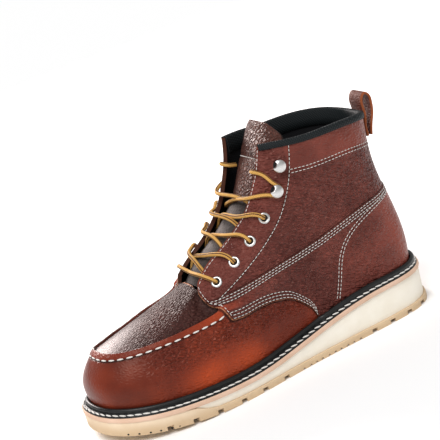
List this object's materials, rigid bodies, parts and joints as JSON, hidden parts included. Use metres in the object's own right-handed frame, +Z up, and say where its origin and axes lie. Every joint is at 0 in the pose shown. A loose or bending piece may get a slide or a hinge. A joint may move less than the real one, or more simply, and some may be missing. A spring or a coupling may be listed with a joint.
{
  "type": "moc toe work boot",
  "caption": "Ankle-high left moc toe work boot: hollow leather upper, raised moc seam, laced throat, collar pull loop and flat wedge sole, standing empty.",
  "frame": {"origin": "on the floor, under the middle of the sole's box", "axes": "+Z up, +Y from toe to heel, +X to the boot's outer (left) side"},
  "size_m": [0.1074, 0.3062, 0.1895],
  "materials": {
    "upper_leather": "oiled pebbled reddish brown",
    "tongue_leather": "pebbled dark brown",
    "binding": "matt black",
    "insole": "matt black",
    "welt": "matt black",
    "midsole": "matt pinkish tan",
    "wedge": "matt off-white foam rubber",
    "outsole": "matt tan",
    "metal": "bright plated",
    "lace": "golden round cord with a brown fleck"
  },
  "bodies": {
    "root": {"outsole": "outsole", "wedge": "wedge", "midsole": "midsole", "welt": "welt", "upper": "upper_leather", "tongue": "tongue_leather", "insole": "insole", "collar_binding": "binding", "pull_loop": "upper_leather", "eyelet_outer_1": "metal", "eyelet_outer_2": "metal", "eyelet_outer_3": "metal", "eyelet_outer_4": "metal", "eyelet_inner_1": "metal", "eyelet_inner_2": "metal", "eyelet_inner_3": "metal", "eyelet_inner_4": "metal", "hook_outer_1": "metal", "hook_outer_2": "metal", "hook_inner_1": "metal", "hook_inner_2": "metal", "lace_bar": "lace", "lace_cross_1": "lace", "lace_cross_2": "lace", "lace_cross_3": "lace", "lace_cross_4": "lace", "lace_end_outer": "lace", "lace_end_inner": "lace"}
  },
  "joints": []
}
